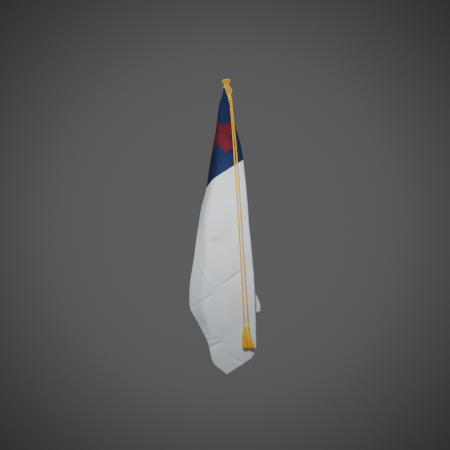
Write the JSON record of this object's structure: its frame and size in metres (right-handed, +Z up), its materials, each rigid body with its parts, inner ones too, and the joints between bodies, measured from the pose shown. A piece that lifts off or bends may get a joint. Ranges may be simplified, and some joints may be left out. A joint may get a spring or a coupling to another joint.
{
  "type": "christian flag",
  "caption": "White cloth flag with a blue canton and a red Latin cross, hanging by its gathered corner from a knotted gold cord with tassels.",
  "frame": {"origin": "top of the knot, where the flag hangs", "axes": "+Z up against the hang, +Y towards the back, +X to the right seen from the front"},
  "size_m": [0.3526, 0.1191, 1.4546],
  "materials": {
    "white_cloth": "matte woven cloth",
    "blue_cloth": "matte woven cloth",
    "red_cloth": "matte woven cloth",
    "gold_cord": "silky twisted rayon",
    "gold_yarn": "silky rayon yarn"
  },
  "bodies": {
    "root": {"field": "white_cloth", "canton": "blue_cloth", "cross": "red_cloth", "cord_knot": "gold_cord", "cord_left": "gold_cord", "cord_right": "gold_cord", "tassel_left": "gold_yarn", "tassel_right": "gold_yarn"}
  },
  "joints": []
}
